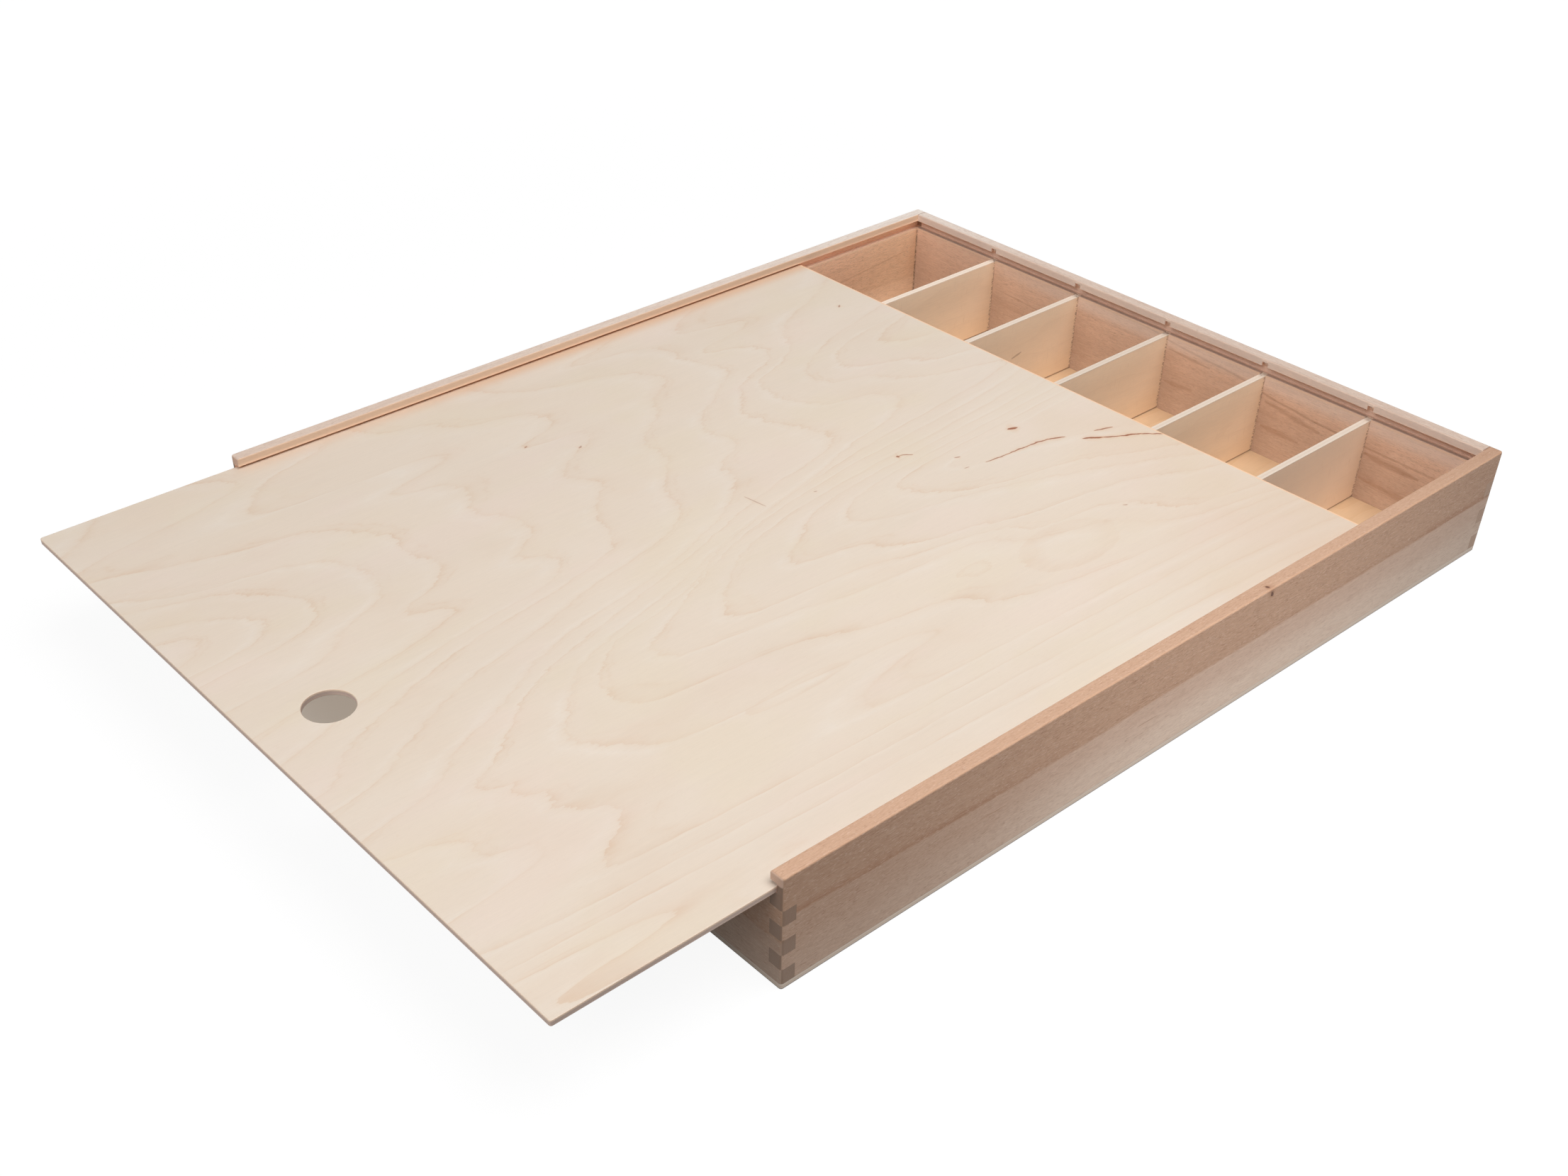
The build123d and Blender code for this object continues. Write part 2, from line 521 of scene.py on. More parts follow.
class GrooveTones(NamedTuple):
    """Tones round the lid's groove in one board."""

    # Colour of the lip's inner face, lighter than the board as painted light
    lip: tuple
    # Colour inside the groove, paler than the board, as painted light in its shade
    inside: tuple
    # Painted light and shade: how much lighter or darker than the board the groove's upright face and its
    # floor are
    face_lift: float
    floor_lift: float
    # Strength of the painted highlight on the shoulder
    glow: float


SIDE_GROOVE = GrooveTones(lip=tone(226, 196, 170), inside=tone(210, 180, 160),
                          face_lift=0.6, floor_lift=0, glow=0.55)
BACK_GROOVE = GrooveTones(lip=tone(254, 236, 224), inside=tone(206, 186, 178),
                          face_lift=0.22, floor_lift=-0.27, glow=0.75)


def beech(name, cut, look, streak_tree):
    """Steamed beech: growth rings, ray flecks, two tones of wood, end grain and joint seams, with painted
    light and shade.
    """
    material, g = new_material(f"steamed_beech_{name}")
    place, (x, y, z), (face_x, face_y, face_z) = g.surface()
    lengthwise = cut.axis == "Y"
    along, through = (y, x) if lengthwise else (x, y)
    end_face = abs(face_y if lengthwise else face_x)
    broad_face = abs(face_x if lengthwise else face_y)
    flat_face = broad_face.rise(0.4, 0.8)
    inward = (face_x if name == "left_wall" else -face_x if lengthwise else -face_y).rise(0.5, 0.9)
    upward = face_z.rise(0.3, 0.9)
    at_top = upward * z.rise(LIP, LIP + 0.4)
    board = g.join(along, z, through)

    def grain(cell, step, detail=1):
        """Random variation of this board's own."""
        return g.noise(board, cell, cut.seed + step, detail)

    # Growth rings about a pith beside the board, bent by the tree's own unevenness
    drift = grain((170, 40, 40), 0, 2) - 0.5
    wander = grain((26, 7, 7), 5, 2) - 0.5
    pith_level, pith_side = cut.pith
    up = z - pith_level + drift * 46 + wander * 2.4
    out = through - pith_side + drift * 24
    radius = g.math("SQRT", up * up + out * out)
    growth = g.math("FRACT", radius / look.ring_spacing + (grain((400, 9, 9), 2) - 0.5) * 2)
    late = g.math("POWER", growth, 3) * growth.rise(1.0, 0.9)

    # The two tones of wood, with a growth streak that is crisp below and fades upwards
    border = g.drawn(along, cut.border, BOARD_REACH, BOARD_HEIGHT) + drift * 1.6 + wander * 1.5
    depth = z - border
    zone = g.drawn(along, cut.zone, BOARD_REACH, (0, 1))
    below = g.most(depth.rise(0.9, -1.4) * zone, cut.paleness)
    streak_height = SIDE_STREAK_HEIGHT if lengthwise else END_STREAK_HEIGHT
    streak = g.drawn(along, cut.streak, BOARD_REACH, (0, 1)) * depth.rise(-0.5, 0.5)
    streak = streak * depth.rise(streak_height, 0.6) * (grain((46, 1.6, 1.6), 8, 2) * 0.8 + 0.55)
    # Painted light and shade along the board, on the broad faces and on the top edge
    shade = g.drawn(along, cut.shade, BOARD_REACH, (0, 2))
    top_shade = g.drawn(along, cut.top_shade, BOARD_REACH, (0, 2))

    coat = Coat(g, g.blend(below, look.warm, look.pale))
    # Painted light thrown up by the floor: paler towards the foot
    coat.lay(z.rise(30, 8) * 0.75 * zone, FOOT_BOUNCE_LIGHT)
    # Painted light on the inner faces, lighter towards the top; on the back wall, painted shade beside each
    # partition's right face and towards the bottom
    inner_light_and_shade = inward * z.rise(22, SHOULDER) * 0.3 + 1
    if name == "back_wall":
        past_partition = g.math("FRACT", x / PARTITION_PITCH)
        partition_shade = past_partition.rise(0.3, 0.04) * z.rise(50, 42) * 0.14 + z.rise(36, 12) * 0.12
        inner_light_and_shade = inner_light_and_shade * (1 - partition_shade * inward)
    # The painted light and shade multiply the wood: along the board, on the top edge and up the inner faces
    coat.dim(shade * inner_light_and_shade * (1 - at_top) + top_shade * at_top)
    # The top edges are whitened towards a paler tone, most towards the back left corner
    coat.lay(g.drawn(along, cut.top_whitening, BOARD_REACH, (0, 1)) * at_top, look.whitened)
    coat.lay(grain((60, 6, 6), 11, 3).rise(0.5, 0.8) * 0.16, look.dark)
    coat.lay(grain((90, 4, 4), 9, 2).rise(0.45, 0.8) * 0.14, look.pale)
    coat.lay(streak * flat_face * 0.75, look.dark)
    coat.lay(late * grain((90, 5, 5), 7) * 0.198, look.dark)

    # Fine grain: ray flecks, hairlines, speckles, and the shine of the rays
    fleck = grain((look.fleck_length, 0.42, 0.6), 13).rise(0.56, 0.74)
    fleck_area = grain((40, 12, 12), 14).rise(0.3, 0.7) * 0.5 + 0.5
    hair = grain((6, 0.4, 0.4), 15, 2).rise(0.40, 0.72)
    speckle = grain((0.9, 0.5, 0.5), 16).rise(0.5, 0.78)
    shine = grain((2.2, 0.5, 0.6), 17).rise(0.56, 0.76)
    coarse = ((1.6 - below * 0.6) * (1 - at_top) + at_top * 0.95) * end_face.rise(0.7, 0.4)
    coat.lay(fleck * fleck_area * coarse * 0.30, look.fleck)
    coat.lay(hair * coarse * 0.20, look.fleck)
    coat.lay(speckle * coarse * 0.12, look.fleck)
    coat.lay(shine * coarse * 0.20, look.shine)

    # What sets single boards apart
    if name == "back_wall":
        pink_band = z.rise(40, 47) * x.rise(-170, -60) * inward * z.rise(SHOULDER + 0.2, SHOULDER)
        coat.lay(pink_band * 0.32, PINK_BAND)
    elif name == "left_wall":
        coat.lay(inward * y.rise(150, 235) * 0.2, YELLOW_END)
    elif name == "right_wall":
        coat.lay(at_top * y.rise(60, OUTER_BACK) * 0.16, look.dark)
    flat = g.join(0.0, y, z) if lengthwise else g.join(x, 0.0, z)
    for start, end, width, strength in cut.marks:
        share = g.use(streak_tree, place=flat, start=start, end=end, width=width)
        share = share + (grain((9, 1.4, 1.4), 19, 2) - 0.5) * 1.1
        coat.lay(share.rise(1.0, 0.1) * strength * flat_face, look.dark)
    if name == "right_wall":
        knot = g.use(streak_tree, place=place, start=KNOT_TOP, end=KNOT_SIDE, width=KNOT_WIDTH)
        knot = knot + (g.noise(board, (2, 0.8, 0.8), 2.0, 2) - 0.5) * 0.8
        coat.lay(knot.rise(2.6, 0.6) * 0.5, look.dark)
        coat.lay(knot.rise(1.0, 0.5) * 0.85, KNOT_HEART)

    # The inner face of the lip and the groove under it with painted light and shade, a painted highlight on
    # the shoulder, and the worn arrises of the outside with a painted highlight
    groove = SIDE_GROOVE if lengthwise else BACK_GROOVE
    # Painted light: the lip's inner face is lighter than the board
    lip = inward * z.rise(LIP, LIP + 0.3)
    coat.lay(lip * 0.85, groove.lip)
    # Painted light and shade on the lip: on the side walls lighter towards its foot, darker towards the
    # middle and lighter at the back end; on the back wall darker towards the right, and not lightened over
    # each partition
    if lengthwise:
        lift = z.rise(LIP + 1.8, LIP) * 0.36 - y.rise(-60, 120) * 0.09 + y.rise(130, 170) * 0.29 - 0.05
    else:
        lift = g.from_row(x, PARTITION_PITCH).rise(2.1, 1.8) * 0.08 - x.rise(-150, 40) * 0.07 + 0.03
    coat.dim(lip * lift + 1)
    # The groove's inside is tinted paler and its upright face lightened, as painted light in its shade
    into_wall = abs(x) - INNER_SIDE if lengthwise else y - INNER_BACK
    in_groove = into_wall.rise(0.1, 0.6) * z.rise(LIP + 0.1, LIP) * z.rise(SHOULDER - 0.2, SHOULDER)
    in_groove = in_groove * into_wall.rise(6, 5)
    coat.lay(in_groove * 0.35, groove.inside)
    coat.dim(in_groove * inward * groove.face_lift + 1)
    # Painted light on the deep part of the groove floor under the lip; on the back wall, painted shade on the
    # rest of that floor
    groove_floor = upward * z.near(SHOULDER, 0.4)
    floor_lift = into_wall.rise(2.0, 3.5) * 0.45 + into_wall.rise(0.2, 0.7) * groove.floor_lift
    coat.dim(groove_floor * floor_lift + 1)
    # Painted highlight along the shoulder's arris, as a cut edge catching the light
    shoulder = inward * z.rise(SHOULDER - 1.7, SHOULDER - 0.4) * z.rise(SHOULDER + 0.3, SHOULDER)
    coat.lay(shoulder * groove.glow, SHOULDER_HIGHLIGHT)
    # Worn arrises of the outside, with a painted highlight
    arris = g.least(broad_face, abs(face_z)).rise(0.15, 0.6) * z.rise(WALL_FOOT + 30, BOX_TOP - 4)
    coat.lay(arris * 0.3, ARRIS_WEAR_AND_HIGHLIGHT)

    # Cut ends: a little darker and greyer, with pores instead of lines
    ends = Coat(g, g.scale(look.end_grain, shade * cut.end_shade))
    ends.lay(grain((0.5, 0.5, 0.5), 21, 2).rise(0.35, 0.75) * 0.22, look.fleck)
    ends.lay(z.rise(LIP - 1, LIP) * 0.8, LIP_END)
    coat.lay(end_face.rise(0.55, 0.85) * 0.75, ends.colour)

    # Glue seams of the finger joints; painted shade in torn notches beside the back ones and in the crevices
    # of the back corners
    height = z - WALL_FOOT
    odd_row = g.math("FRACT", height / (FINGER_HEIGHT * 2)).rise(0.49, 0.51)
    from_seam = g.from_row(height, FINGER_HEIGHT)
    seamed = z.rise(SHOULDER - FINGER_HEIGHT + 0.3, SHOULDER - FINGER_HEIGHT)
    at_end = abs(y).rise(INNER_BACK - 0.2, INNER_BACK)
    on_side = abs(face_x).rise(0.6, 0.9)
    on_end = abs(face_y).rise(0.6, 0.9)
    side_upright = abs(y).near(INNER_BACK, UPRIGHT_SEAM) * (1 - odd_row) * seamed
    end_upright = abs(x).near(INNER_SIDE, UPRIGHT_SEAM) * odd_row
    seams = g.most(on_side * g.most(from_seam.rise(*LEVEL_SEAM) * at_end * seamed, side_upright),
                   on_end * end_upright * z.rise(BOX_TOP, BOX_TOP - 1))
    # Painted shade: the crevices at the back corners, the back inner corners and the torn notches are painted
    # dark, as gaps in shade
    crevice = abs(x).near(INNER_SIDE, 0.5) * y.rise(INNER_BACK - 0.2, INNER_BACK + 0.4)
    crevice = crevice * upward * z.rise(57, 58)
    to_corner = y.near(INNER_BACK, 1.5) if lengthwise else abs(x).near(INNER_SIDE, 1.2)
    corner = to_corner * inward * y.rise(0, 9) * z.rise(SHOULDER + 0.2, SHOULDER) * 0.7
    notches = from_seam.rise(1.3, 0.3) * y.near(OUTER_BACK, 2.6) * on_side
    notches = notches * z.rise(*NOTCHES_FROM) * z.rise(*NOTCHES_TO)
    grime = g.noise(place, (1.2, 1.2, 2.0), 4.4, 2).rise(0.2, 0.6) * 0.6 + 0.4
    ragged = g.noise(place, (0.8, 0.8, 1.4), 7.7, 2).rise(0.36, 0.56)
    coat.lay(seams * grime * 0.22, look.seam)
    coat.lay(g.most(crevice, corner * ragged, notches) * 0.85, look.seam)
    coat.lay(z.near(WALL_FOOT, 0.3) * grime * 0.25, look.seam)

    relief = hair * 0.5 + fleck * 0.6 + late * 0.4
    roughness = 0.58 + fleck * 0.12 - shine * 0.08
    finish_wood(g, coat.colour, roughness, 1 - relief, 0.05)
    return material


class FinishWalls(bpy.types.Operator):
    """Give the four walls their steamed beech"""

    bl_idname = "pencilbox.finish_walls"
    bl_label = "Finish Beech Walls"

    def execute(self, context):
        streak_tree = streak_group()
        for name, cut in BOARD_CUTS.items():
            dress(name, beech(name, cut, context.scene.pencil_box_beech, streak_tree))
        return {"FINISHED"}


# Lid

# Growth lines of the veneer sheet, drawn from the back of the lid to the front: places across and along,
# in mm
GROWTH_LINES = [
    [(-211, 330), (10, 215), (18, 160), (22, 118), (26, 44), (30, 32), (35, 36), (48, 98), (66, 144),
     (84, 176), (211, 290)],
    [(-211, 310), (4, 200), (12, 155), (21, 14), (25, -3), (29, -6), (49, 13), (59, 38), (67, 76),
     (72, 92), (81, 108), (96, 146), (118, 180), (211, 270)],
    [(-211, 290), (-3, 186), (5, 150), (16, 4), (20, -21), (26, -39), (31, -45), (36, -46), (42, -39),
     (47, -26), (56, 15), (76, 72), (112, 148), (130, 172), (211, 250)],
    [(-211, 270), (-96, 200), (-12, 172), (-3, 146), (12, -24), (16, -47), (21, -61), (33, -78), (40, -91),
     (45, -94), (49, -88), (55, -59), (65, -49), (72, -36), (81, 2), (85, 10), (101, 92), (116, 124),
     (124, 146), (142, 168), (211, 232)],
    [(-211, 250), (-125, 180), (-103, 111), (-96, 106), (-91, 113), (-80, 150), (-60, 172), (-16, 162),
     (-9, 130), (8, -40), (13, -72), (20, -98), (29, -116), (55, -145), (59, -147), (65, -138), (70, -76),
     (79, -43), (85, -10), (92, 8), (99, 14), (108, 60), (114, 71), (131, 85), (136, 92), (149, 148),
     (160, 170), (211, 215)],
    [(-211, 230), (-126, 170), (-116, 140), (-115, 117), (-107, 83), (-102, 73), (-94, 68), (-86, 68),
     (-71, 100), (-62, 110), (-53, 146), (-40, 160), (-24, 152), (-17, 124), (0, -38), (12, -96),
     (49, -178), (54, -187), (61, -190), (67, -188), (70, -181), (77, -123), (84, -90), (91, -12),
     (97, -2), (104, 4), (120, 50), (134, 66), (142, 82), (158, 148), (170, 166), (211, 200)],
    [(-211, 212), (-140, 158), (-127, 116), (-121, 90), (-111, 66), (-100, 48), (-92, 43), (-84, 43),
     (-77, 50), (-70, 70), (-58, 79), (-52, 88), (-46, 100), (-38, 130), (-33, 140), (-28, 128),
     (-24, 104), (-11, -4), (14, -114), (27, -138), (37, -172), (42, -198), (47, -208), (55, -217),
     (61, -223), (67, -225), (85, -220), (88, -213), (96, -139), (99, -128), (109, -104), (115, -66),
     (119, -57), (125, -50), (130, -48), (135, -38), (141, -14), (147, 20), (162, 146), (176, 164),
     (211, 190)],
    [(-211, 170), (-174, 128), (-150, 76), (-129, 60), (-120, 51), (-111, 33), (-109, 22), (-102, 16),
     (-92, 13), (-82, 13), (-67, 23), (-61, 29), (-55, 52), (-51, 58), (-45, 62), (-38, 60), (-27, 41),
     (-22, 14), (-11, -20), (8, -100), (23, -143), (41, -208), (47, -221), (54, -231), (69, -246),
     (86, -257), (101, -245), (116, -222), (121, -145), (129, -84), (133, -86), (135, -108), (152, -147),
     (154, -138), (161, 50), (165, 110), (170, 150), (184, 168), (211, 182)],
    [(-211, 90), (-180, 24), (-176, 41), (-168, 61), (-163, 55), (-159, 28), (-156, 18), (-151, 18),
     (-146, 34), (-138, 44), (-129, 45), (-122, 38), (-109, 7), (-96, -4), (-82, -13), (-42, 3), (-33, 4),
     (-27, -2), (-23, -12), (-12, -64), (8, -124), (36, -224), (42, -240), (50, -254), (79, -293),
     (84, -303), (88, -306), (92, -301), (94, -292), (100, -297), (108, -286), (116, -287), (121, -286),
     (132, -271), (137, -270), (154, -291), (160, -294), (163, -270), (165, -230), (169, -20), (174, 130),
     (182, 156), (211, 174)],
    [(-211, 10), (-196, -30), (-190, -52), (-186, -44), (-184, -18), (-180, -7), (-170, 2), (-156, 2),
     (-134, 11), (-126, 12), (-121, 7), (-116, -3), (-109, -10), (-96, -33), (-88, -39), (-81, -42),
     (-64, -38), (-58, -40), (-50, -58), (-34, -63), (-18, -80), (-10, -92), (10, -146), (24, -214),
     (31, -233), (50, -270), (63, -300), (71, -309), (77, -321), (87, -362), (94, -372), (101, -358),
     (104, -341), (108, -332), (114, -326), (121, -328), (125, -324), (128, -312), (134, -307),
     (139, -311), (147, -362), (156, -380), (166, -364), (175, -240), (180, 0), (185, 90), (194, 146),
     (211, 164)],
    [(-211, -104), (-204, -112), (-196, -108), (-188, -100), (-180, -88), (-164, -38), (-158, -29),
     (-141, -22), (-129, -39), (-112, -51), (-106, -60), (-91, -76), (-82, -75), (-74, -76), (-48, -97),
     (-30, -103), (-22, -109), (-11, -133), (0, -182), (12, -220), (22, -262), (38, -299), (47, -316),
     (55, -327), (65, -364), (80, -392), (130, -394), (176, -390), (182, -300), (190, -60), (196, 60),
     (203, 130), (211, 150)],
    [(-211, -190), (-196, -180), (-190, -172), (-185, -153), (-170, -139), (-161, -108), (-155, -101),
     (-143, -100), (-138, -106), (-134, -120), (-130, -128), (-127, -116), (-125, -96), (-121, -92),
     (-117, -92), (-112, -97), (-109, -105), (-93, -128), (-86, -126), (-78, -120), (-73, -119),
     (-67, -123), (-59, -133), (-49, -140), (-33, -144), (-27, -147), (-22, -152), (-13, -177), (2, -256),
     (19, -305), (33, -334), (42, -342), (49, -352), (54, -370), (70, -405), (180, -410), (197, -290),
     (201, -330), (205, -350), (211, -300)],
    [(-211, -206), (-205, -202), (-200, -206), (-185, -251), (-176, -260), (-163, -269), (-159, -262),
     (-157, -250), (-155, -176), (-151, -163), (-146, -166), (-137, -202), (-134, -207), (-130, -201),
     (-127, -187), (-124, -181), (-118, -176), (-106, -177), (-94, -184), (-77, -173), (-67, -171),
     (-59, -173), (-42, -190), (-38, -182), (-30, -178), (-24, -182), (-18, -189), (-14, -202),
     (-12, -222), (1, -288), (25, -362), (40, -400), (190, -430), (211, -380)],
    [(-211, -282), (-192, -262), (-184, -284), (-163, -362), (-151, -338), (-140, -304), (-136, -290),
     (-132, -264), (-128, -254), (-122, -246), (-101, -228), (-96, -227), (-82, -229), (-66, -224),
     (-59, -226), (-54, -230), (-48, -240), (-40, -258), (-36, -256), (-31, -244), (-27, -240),
     (-22, -246), (-17, -262), (2, -370), (20, -420), (190, -450), (211, -410)],
    [(-211, -330), (-190, -352), (-168, -400), (-140, -366), (-121, -334), (-116, -320), (-113, -296),
     (-105, -271), (-101, -264), (-77, -254), (-55, -264), (-46, -286), (-35, -299), (-30, -311),
     (-22, -372), (0, -430), (190, -470), (211, -440)],
    [(-211, -400), (-160, -430), (-128, -372), (-107, -316), (-97, -304), (-81, -289), (-76, -287),
     (-70, -288), (-64, -291), (-59, -296), (-54, -312), (-44, -380), (0, -460), (211, -480)],
    [(-211, -450), (-130, -430), (-101, -348), (-94, -332), (-86, -320), (-80, -314), (-75, -312),
     (-70, -313), (-65, -317), (-61, -329), (-56, -370), (-30, -440), (211, -500)],
    [(-211, -480), (-100, -410), (-87, -350), (-83, -343), (-78, -343), (-73, -347), (-68, -356),
     (-40, -460), (211, -530)],
    [(-211, -560), (-90, -440), (-70, -440), (0, -520), (211, -580)],
]

# Small closed rings: middle, reach across and along, strength
CLOSED_RINGS = [
    ((121, 19), 17, 30, 0.5),
    ((107, -32), 4.5, 10, 0.6),
    ((121.5, -160), 4.5, 30, 0.6),
]

# Mineral streaks on the lid: start, end, half width, strength
STREAKS = [
    ((80.8, 142.0), (76.0, 136.0), 0.42, 0.9),
    ((76.4, 136.6), (71.8, 131.5), 0.46, 0.9),
    ((72.2, 132.2), (66.5, 121.0), 0.52, 1.0),
    ((66.8, 121.5), (61.0, 112.5), 0.46, 0.9),
    ((61.6, 113.4), (55.6, 104.6), 0.70, 1.0),
    ((57.8, 126.3), (54.3, 115.8), 0.44, 0.8),
    ((48.0, 98.6), (43.8, 89.0), 0.46, 0.9),
    ((43.9, 89.9), (42.0, 75.5), 0.42, 0.9),
    ((42.1, 76.5), (41.0, 61.5), 0.36, 0.9),
    ((41.1, 62.5), (39.6, 46.8), 0.32, 0.8),
    ((24.8, 86.8), (22.8, 81.8), 0.85, 1.0),
    ((26.6, 40.6), (26.0, 37.6), 0.36, 0.6),
    ((9.2, 23.5), (5.0, 17.4), 0.26, 0.9),
    ((5.6, 16.6), (5.0, 15.4), 0.70, 1.0),
    ((37.2, 36.6), (36.5, 33.6), 0.24, 0.5),
    ((-148.8, 119.4), (-146.8, 117.2), 0.55, 0.55),
    ((-111.6, -103.0), (-110.2, -105.2), 0.55, 0.5),
    ((-130.2, -125.0), (-128.8, -126.8), 0.5, 0.5),
    ((-15.8, -71.8), (-1.8, -69.8), 0.32, 0.35),
    ((115.4, 69.4), (114.2, 67.4), 0.32, 0.45),
    ((3.8, -40.2), (3.0, -41.8), 0.30, 0.4),
]

# The streaks are drawn this much wider than measured, since they thin out to their ends
STREAK_FULLNESS = 1.25

# Between one growth line, at 0, and the next, at 1, a fainter twin and the paler early wood lie here
TWIN_PLACE = 0.84
HALO_PLACE = 0.16

# Plies on the edge blend into each other over this half width, in mm
PLY_BLUR = 0.12

# Tones of single places on the lid
ROSY_WOOD = tone(232, 213, 200)
STRAW_WOOD = tone(228, 213, 190)
STREAK_CORE = tone(98, 54, 34)
LIP_BOUNCE_TINT = tone(217, 184, 156)
BACK_EDGE = tone(250, 205, 163)
GLUE_LINE = tone(120, 92, 78)


def lid_birch(look, streak_tree):
    """Rotary-cut birch: wandering growth lines, fine fibres, mineral streaks, and plies on the edges."""
    material, g = new_material("birch_veneer_lid")
    place, (x, y, z), (_, face_y, face_z) = g.surface()
    middle = (LID_FOOT + LID_TOP) / 2
    under = z.rise(middle + 0.1, middle - 0.1)
    x = x * (1 - under * 2)
    sheet = g.join(x, y, under * 40)

    def grain(across, along, seed, detail=1):
        """Random variation of the veneer, even through its thickness."""
        return g.noise(sheet, (across, along, 9), seed, detail)

    # How many growth lines lie behind a place, with the share of the way to the next one. The cut jags along
    # the grain
    jag = (grain(3.0, 14, 1.3) - 0.5) * 8.0 + (grain(1.2, 4, 4.2, 3) - 0.5) * 8.0
    along = y + jag
    across = x + (grain(9, 16, 5.5) - 0.5) * 1.6
    lines = [g.drawn(across, points, SHEET_REACH, SHEET_HEIGHT) for points in GROWTH_LINES]
    passed = along.share(lines[0], lines[1])
    for behind, ahead in zip(lines[1:], lines[2:]):
        passed = passed + along.share(behind, ahead)
    ring = g.math("FLOOR", passed)
    step = passed - ring

    def fading(distance, reach):
        """1 at the distance 0, fading out over the reach."""
        return g.math("EXPONENT", distance / -reach)

    # Each line has a crest, a soft shadow before it, a fainter twin, and paler early wood after it
    before = 1 - step
    shadow = fading(before, 0.12)
    crest = fading(before, 0.035) + fading(step, 0.02) * 0.8
    twin = fading(abs(step - TWIN_PLACE), 0.02) * grain(14, 40, 7.2, 2).rise(0.42, 0.62)
    halo = fading(abs(step - HALO_PLACE), 0.12)
    own = g.math("SINE", ring * 2.7 + 1.1) * 0.2 + 0.85
    patch = grain(9, 26, 6.1, 3).rise(0.3, 0.7) * 0.9 + 0.35
    strength = own * patch * passed.rise(0, 0.02) * look.ring_strength

    # Fibres and pores along the grain
    fibre = grain(0.5, 6, 8.3, 2) - 0.5
    cord = grain(1.7, 44, 9.9, 2) - 0.5
    cloud = grain(46, 120, 11.5, 2) - 0.5
    pores = grain(0.34, 2.6, 13.1).rise(0.66, 0.82)
    tinge = grain(34, 60, 21.5, 3)
    hue = grain(40, 80, 33.7, 3)

    coat = Coat(g, g.blend(tinge.rise(0.5, 0.72) * 0.2, look.birch, look.halo))
    coat.lay(tinge.rise(0.48, 0.3) * 0.07, look.ring)
    coat.lay(shadow * strength * 0.14, look.ring)
    coat.lay((crest * 0.3 + twin * 0.2) * strength, look.ring)
    coat.lay(halo * strength * 0.5, look.halo)
    coat.lay(hue.rise(0.52, 0.68) * 0.35, ROSY_WOOD)
    coat.lay(hue.rise(0.48, 0.32) * 0.35, STRAW_WOOD)
    for (across_middle, along_middle), reach_across, reach_along, show in CLOSED_RINGS:
        aside = (across - across_middle) / reach_across
        ahead = (along - along_middle) / reach_along
        radius = g.math("SQRT", aside * aside + ahead * ahead)
        coat.lay(radius.rise(0.4, 1.0) * radius.rise(1.06, 1.0) * strength * show * 0.3, look.ring)
    coat.dim(fibre * 0.055 + cord * 0.045 + cloud * 0.05 + 1.0)
    # Painted shade: the lid is darker towards the left
    coat.dim(x.rise(-160, 120) * 0.03 + 0.97)
    # Painted shade: darker and tanner towards the back right
    coat.lay(x.rise(60, 200) * y.rise(-20, LID_BACK) * 0.3, look.ring)
    coat.lay(x.near(76, 60) * y.rise(60, LID_BACK) * 0.2, look.stain)
    coat.lay(pores * 0.20, look.ring)

    # Mineral streaks, each with a ragged wavy outline, a thin dark core and a warm stain round it
    ragged = (grain(0.9, 2.2, 15.2, 2) - 0.5) * 0.7
    wavy = g.join(x + (grain(9, 4.5, 16.4) - 0.5) * 1.6, y, 0.0)
    for start, end, width, show in STREAKS:
        full_width = width * STREAK_FULLNESS
        distance = g.use(streak_tree, place=wavy, start=(*start, 0), end=(*end, 0), width=full_width)
        distance = distance + ragged + under * 99
        coat.lay(distance.rise(6.5, 0.8) * show * 0.30, look.stain)
        coat.lay(distance.rise(1.5, 0.6) * show * 0.9, look.mineral)
        coat.lay(distance.rise(0.8, 0.1) * show * 0.45, STREAK_CORE)

    # Painted warm light bounced from the left lip, with its soft shade, on the lid beside it. The strip in
    # the left groove is lightened as painted light, and the back edge is lighter
    bounce_share = y.rise(-262, -242) * 0.4 + y.rise(-200, -60) * 0.6
    coat.lay((x + INNER_SIDE).rise(11, 0.5) * bounce_share * (1 - under) * 0.9, LIP_BOUNCE_TINT)
    coat.dim(x.rise(0.1 - INNER_SIDE, -1 - INNER_SIDE) * y.rise(-256, -250) * 0.2 + 1)
    coat.lay(y.rise(LID_BACK - 1.6, LID_BACK - 0.6) * 0.8, BACK_EDGE)

    # Edges: pale outer plies, a greyer core and thin glue lines
    ply = (LID_TOP - LID_FOOT) / 3
    upper, lower = LID_TOP - ply, LID_FOOT + ply
    below_top = z.rise(upper + PLY_BLUR, upper - PLY_BLUR)
    below_core = z.rise(lower + PLY_BLUR, lower - PLY_BLUR)
    glue = g.most(z.near(lower, PLY_BLUR), z.near(upper, PLY_BLUR))
    edge_grain = g.noise(place, (1.4, 1.4, 0.3), 17.0, 2)
    sawn = Coat(g, g.blend(below_top, look.edge, look.core))
    sawn.lay(below_core * 0.25, look.edge)
    sawn.lay(glue * 0.25, GLUE_LINE)
    # Painted light: the edges that face the front are lighter
    sawn.dim((edge_grain * 0.22 + 0.89) * ((-face_y).rise(0.3, 0.9) * 0.3 + 1))
    coat.lay(abs(face_z).rise(0.86, 0.6), sawn.colour)

    relief = fibre * 0.6 + pores * 0.4 + crest * 0.1
    finish_wood(g, coat.colour, 0.52 + fibre * 0.1, 1 - relief, 0.03)
    return material


class FinishLid(bpy.types.Operator):
    """Give the lid its birch veneer"""

    bl_idname = "pencilbox.finish_lid"
    bl_label = "Finish Lid"

    def execute(self, context):
        dress("lid", lid_birch(context.scene.pencil_box_lid, streak_group()))
        return {"FINISHED"}


# Partitions and bottom

